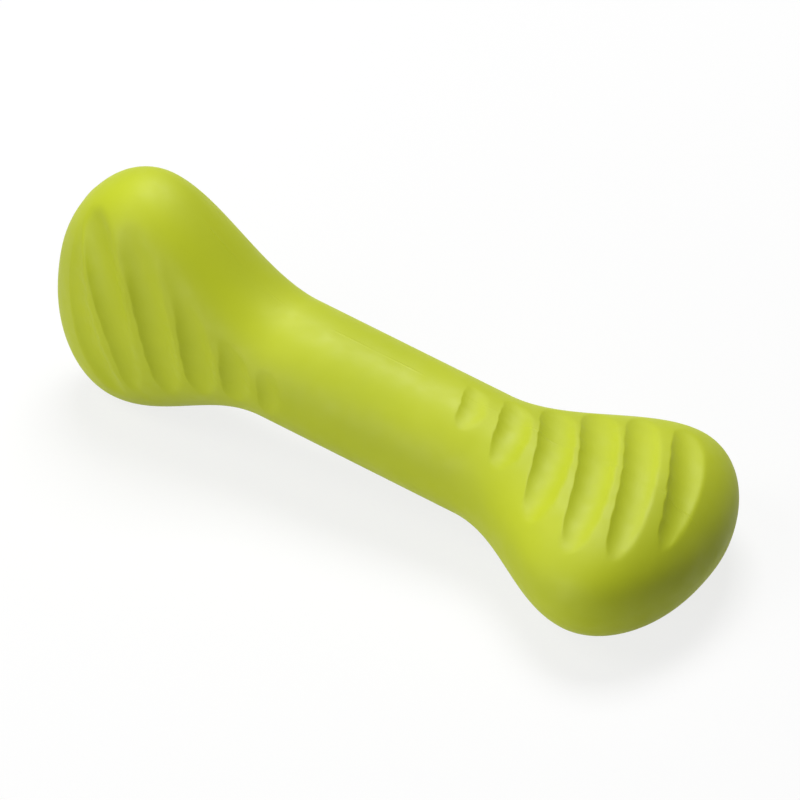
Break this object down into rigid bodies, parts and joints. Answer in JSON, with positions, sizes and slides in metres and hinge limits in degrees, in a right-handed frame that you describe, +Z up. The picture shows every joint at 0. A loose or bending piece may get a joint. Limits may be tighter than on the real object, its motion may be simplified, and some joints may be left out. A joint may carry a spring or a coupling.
{
  "type": "rubber chew toy",
  "caption": "Solid moulded rubber chew bone: a round shaft between broad rounded ends set a quarter turn apart, with slanting scooped ridges on their broad faces, for a dog to chew and fetch.",
  "frame": {"origin": "on the ground that the bone lies on, under the middle of its bounding box", "axes": "+X along the bone's length towards the end that lies on its broad face, +Z up; the bone's own axis dips 7 degrees towards +X, because the other end stands on its edge"},
  "size_m": [0.209, 0.079, 0.0787],
  "materials": {
    "lime_rubber": "satin moulded lime green, coloured right through"
  },
  "bodies": {
    "root": {"bone_body": "lime_rubber"}
  },
  "joints": []
}
